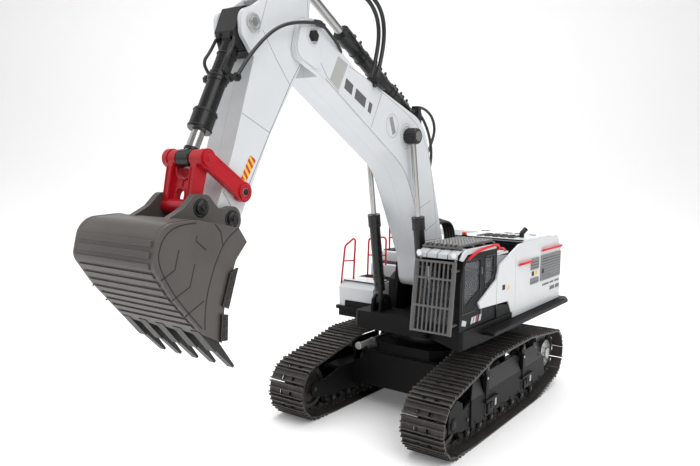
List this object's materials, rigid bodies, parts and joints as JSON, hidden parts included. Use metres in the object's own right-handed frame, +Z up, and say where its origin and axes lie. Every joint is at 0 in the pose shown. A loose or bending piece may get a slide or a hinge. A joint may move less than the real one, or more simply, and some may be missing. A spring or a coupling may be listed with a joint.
{
  "type": "tracked radio-controlled excavator",
  "caption": "Tracked model excavator with slewing cab, gooseneck boom, arm and bucket moved by telescoping cylinders over a four-bar linkage.",
  "frame": {"origin": "on the ground under the middle of the whole machine's box", "axes": "+X to the machine's left (cab side), -Y to the front where the boom points, +Z up"},
  "size_m": [0.188, 0.5548, 0.4032],
  "materials": {
    "white_cast": "satin white enamel",
    "white_cover": "satin white moulded plastic",
    "black_moulding": "fine-grained black",
    "black_metal": "semi-gloss black",
    "chrome": "polished rod",
    "red_paint": "gloss red",
    "bucket_metal": "warm dark grey",
    "track_steel": "dark bare metal",
    "bright_steel": "turned and bright",
    "wheel_alloy": "machined",
    "guard_alloy": "brushed grey",
    "motor_case": "satin",
    "glazing": "clear",
    "lens": "amber beacon, clear lamps",
    "hose_rubber": "smooth black",
    "battery_wrap": "shrink wrap",
    "circuit": "printed board",
    "switch_knob": "matt"
  },
  "bodies": {
    "undercarriage": {"car_body": "black_moulding", "slew_ring_lower": "black_metal", "track_frame_left": "black_moulding", "track_frame_right": "black_moulding", "track_belt_left": "track_steel", "track_belt_right": "track_steel", "track_rollers": "track_steel", "track_axles": "bright_steel", "drive_motors": "motor_case"},
    "sprocket_left": {"sprocket_left": "wheel_alloy"},
    "sprocket_right": {"sprocket_right": "wheel_alloy"},
    "idler_left": {"idler_left": "track_steel"},
    "idler_right": {"idler_right": "track_steel"},
    "carrier_front_left": {"carrier_roller_front_left": "track_steel"},
    "carrier_rear_left": {"carrier_roller_rear_left": "track_steel"},
    "carrier_front_right": {"carrier_roller_front_right": "track_steel"},
    "carrier_rear_right": {"carrier_roller_rear_right": "track_steel"},
    "upper": {"platform": "black_moulding", "slew_ring_upper": "black_metal", "slew_motor": "motor_case", "cab_shell": "black_moulding", "cab_windows": "glazing", "cab_interior": "black_moulding", "cab_front_guard": "guard_alloy", "cab_roof_guard": "guard_alloy", "lamps": "lens", "left_side_cover": "white_cover", "engine_hood": "white_cover", "hood_deck": "black_moulding", "right_side_cover": "white_cover", "counterweight": "white_cover", "vents_and_treads": "black_moulding", "handrails": "red_paint", "exhaust_pipe": "black_metal", "battery_pack": "battery_wrap", "receiver_board": "circuit", "deck_hoses": "hose_rubber", "lift_base_pins": "bright_steel"},
    "power_switch": {"power_switch": "switch_knob"},
    "boom": {"boom_half_left": "white_cast", "boom_half_right": "white_cast", "boom_pins": "bright_steel", "boom_brackets": "black_metal", "boom_hoses": "hose_rubber"},
    "lift_barrels": {"lift_barrels": "black_metal"},
    "lift_rods": {"lift_rods": "chrome"},
    "arm_cylinder_barrel": {"arm_cylinder_barrel": "black_metal"},
    "arm_cylinder_rod": {"arm_cylinder_rod": "chrome"},
    "arm": {"arm_half_left": "white_cast", "arm_half_right": "white_cast", "arm_pins": "bright_steel", "arm_hose": "hose_rubber"},
    "bucket_cylinder_barrel": {"bucket_cylinder_barrel": "black_metal", "bucket_cylinder_hoses": "hose_rubber"},
    "bucket_cylinder_rod": {"bucket_rod": "chrome"},
    "rockers": {"rockers": "red_paint"},
    "bucket_link": {"bucket_link": "red_paint"},
    "bucket": {"bucket_shell": "bucket_metal", "bucket_pins": "bright_steel", "bucket_teeth": "bucket_metal"}
  },
  "joints": [
    {"name": "left_track_drive", "type": "hinge", "parent": "undercarriage", "child": "sprocket_left", "pos_m": [0.0736, 0.22238, 0.0402], "axis": [1, 0, 0], "continuous": true},
    {"name": "left_idler_spin", "type": "hinge", "parent": "undercarriage", "child": "idler_left", "pos_m": [0.0736, -0.01222, 0.0307], "axis": [1, 0, 0], "continuous": true},
    {"name": "left_front_carrier_spin", "type": "hinge", "parent": "undercarriage", "child": "carrier_front_left", "pos_m": [0.0736, 0.06139, 0.061], "axis": [1, 0, 0], "continuous": true},
    {"name": "left_rear_carrier_spin", "type": "hinge", "parent": "undercarriage", "child": "carrier_rear_left", "pos_m": [0.0736, 0.14938, 0.0616], "axis": [1, 0, 0], "continuous": true},
    {"name": "right_track_drive", "type": "hinge", "parent": "undercarriage", "child": "sprocket_right", "pos_m": [-0.0736, 0.22238, 0.0402], "axis": [1, 0, 0], "continuous": true},
    {"name": "right_idler_spin", "type": "hinge", "parent": "undercarriage", "child": "idler_right", "pos_m": [-0.0736, -0.01222, 0.0307], "axis": [1, 0, 0], "continuous": true},
    {"name": "right_front_carrier_spin", "type": "hinge", "parent": "undercarriage", "child": "carrier_front_right", "pos_m": [-0.0736, 0.06139, 0.061], "axis": [1, 0, 0], "continuous": true},
    {"name": "right_rear_carrier_spin", "type": "hinge", "parent": "undercarriage", "child": "carrier_rear_right", "pos_m": [-0.0736, 0.14938, 0.0616], "axis": [1, 0, 0], "continuous": true},
    {"name": "slew", "type": "hinge", "parent": "undercarriage", "child": "upper", "pos_m": [0, 0.10539, 0.08], "axis": [0, 0, 1], "continuous": true},
    {"name": "power_switch_slide", "type": "slide", "parent": "upper", "child": "power_switch", "axis": [1, 0, 0], "range_m": [0, 0.005]},
    {"name": "boom_lift", "type": "hinge", "parent": "upper", "child": "boom", "pos_m": [0, 0.08739, 0.14], "axis": [-1, 0, 0], "range_deg": [-40, 8]},
    {"name": "lift_barrel_swing", "type": "hinge", "parent": "upper", "child": "lift_barrels", "pos_m": [0, 0.04738, 0.113], "axis": [-1, 0, 0], "range_deg": [-38.43, 7.85]},
    {"name": "lift_rod_stroke", "type": "slide", "parent": "lift_barrels", "child": "lift_rods", "axis": [0, -0.1719, 0.9851], "range_m": [-0.03259, 0.00668]},
    {"name": "arm_curl", "type": "hinge", "parent": "boom", "child": "arm", "pos_m": [0, -0.11732, 0.3404], "axis": [1, 0, 0], "range_deg": [-25, 35]},
    {"name": "arm_barrel_swing", "type": "hinge", "parent": "boom", "child": "arm_cylinder_barrel", "pos_m": [0, 0.05139, 0.2955], "axis": [1, 0, 0], "range_deg": [-4, 5.53]},
    {"name": "arm_rod_stroke", "type": "slide", "parent": "arm_cylinder_barrel", "child": "arm_cylinder_rod", "axis": [0, -0.8789, 0.4771], "range_m": [-0.01664, 0.02321]},
    {"name": "bucket_curl", "type": "hinge", "parent": "arm", "child": "bucket", "pos_m": [0, -0.19881, 0.2102], "axis": [1, 0, 0], "range_deg": [-20, 60]},
    {"name": "rocker_swing", "type": "hinge", "parent": "arm", "child": "rockers", "pos_m": [0, -0.18682, 0.2275], "axis": [1, 0, 0], "range_deg": [-14.62, 43.47]},
    {"name": "link_swing", "type": "hinge", "parent": "rockers", "child": "bucket_link", "pos_m": [0, -0.21862, 0.249], "axis": [1, 0, 0], "range_deg": [-22.86, 7.75]},
    {"name": "bucket_barrel_swing", "type": "hinge", "parent": "arm", "child": "bucket_cylinder_barrel", "pos_m": [0, -0.17411, 0.341], "axis": [1, 0, 0], "range_deg": [-0.44, 0.91]},
    {"name": "bucket_rod_stroke", "type": "slide", "parent": "bucket_cylinder_barrel", "child": "bucket_cylinder_rod", "axis": [0, -0.4354, -0.9002], "range_m": [-0.00947, 0.02801]}
  ],
  "couplings": [
    {"joint": "left_idler_spin", "follows": "left_track_drive", "ratio": 0.99194},
    {"joint": "left_front_carrier_spin", "follows": "left_track_drive", "ratio": 4.0328},
    {"joint": "left_rear_carrier_spin", "follows": "left_track_drive", "ratio": 4.0328},
    {"joint": "right_idler_spin", "follows": "right_track_drive", "ratio": 0.99194},
    {"joint": "right_front_carrier_spin", "follows": "right_track_drive", "ratio": 4.0328},
    {"joint": "right_rear_carrier_spin", "follows": "right_track_drive", "ratio": 4.0328},
    {"joint": "lift_barrel_swing", "follows": "boom_lift", "ratio": 0.9558},
    {"joint": "lift_rod_stroke", "follows": "boom_lift", "m_per_rad": 0.0464},
    {"joint": "arm_barrel_swing", "follows": "arm_curl", "ratio": 0.1522},
    {"joint": "arm_rod_stroke", "follows": "arm_curl", "m_per_rad": 0.03767},
    {"joint": "rocker_swing", "follows": "bucket_curl", "ratio": 0.7211},
    {"joint": "link_swing", "follows": "bucket_curl", "ratio": -0.3777},
    {"joint": "bucket_barrel_swing", "follows": "bucket_curl", "ratio": 0.0118},
    {"joint": "bucket_rod_stroke", "follows": "bucket_curl", "m_per_rad": 0.02655}
  ]
}
